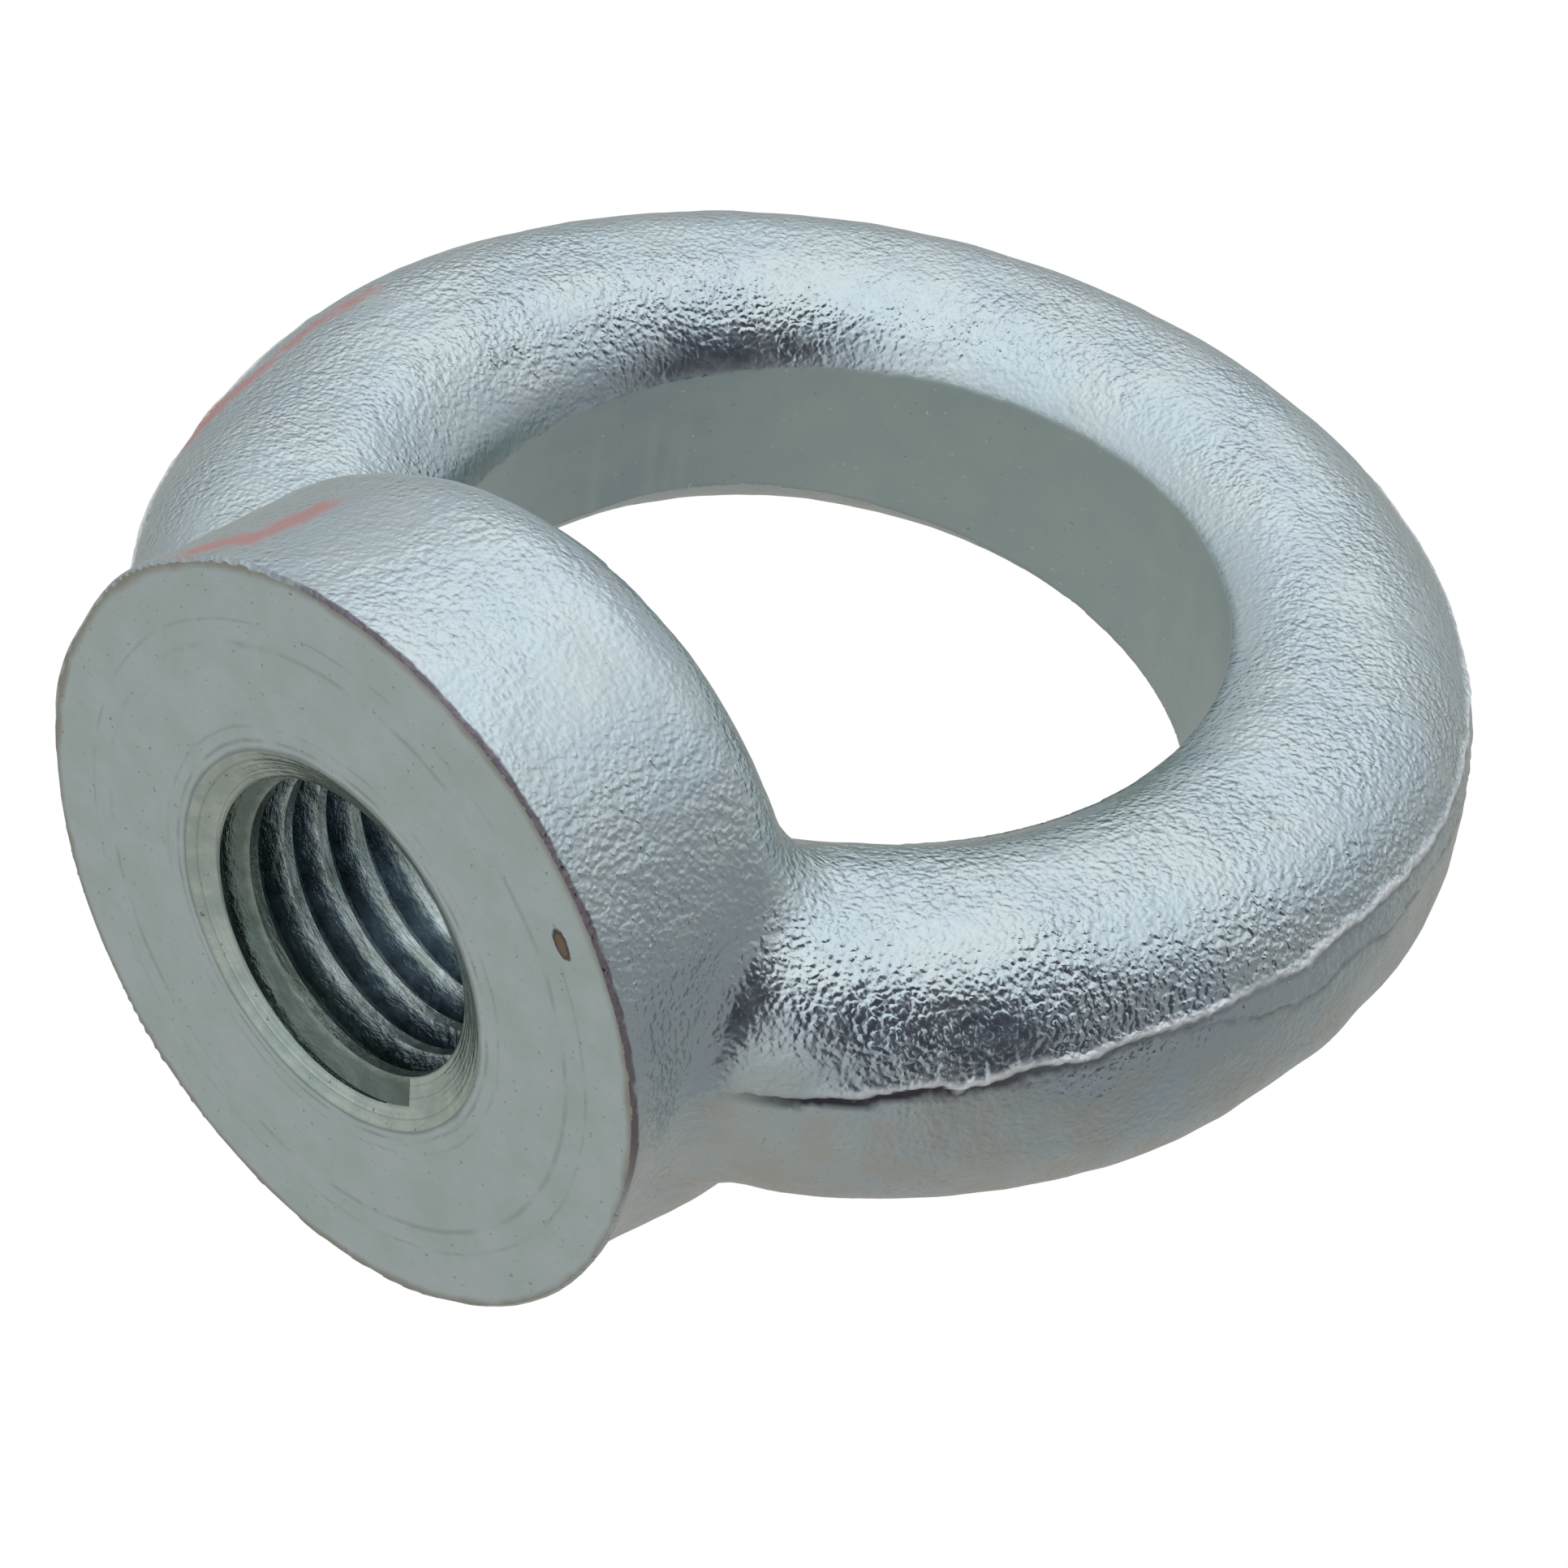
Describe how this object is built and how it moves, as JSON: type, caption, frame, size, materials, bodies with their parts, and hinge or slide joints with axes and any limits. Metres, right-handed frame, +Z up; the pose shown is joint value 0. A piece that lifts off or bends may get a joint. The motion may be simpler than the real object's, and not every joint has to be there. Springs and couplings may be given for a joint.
{
  "type": "lifting eye nut",
  "caption": "Round-based lifting eye nut: a forged ring on a threaded boss, screwed onto a bolt's end to take a hook or shackle.",
  "frame": {"origin": "centre of the threaded bore on the seat face", "axes": "+Z up the bolt axis through the eye, X across the ring, Y along the axis of the eye"},
  "size_m": [0.063, 0.035, 0.062],
  "materials": {
    "zinc_plated_steel": "glossy zinc plating over a rough forged skin"
  },
  "bodies": {
    "root": {"eye_nut": "zinc_plated_steel"}
  },
  "joints": []
}
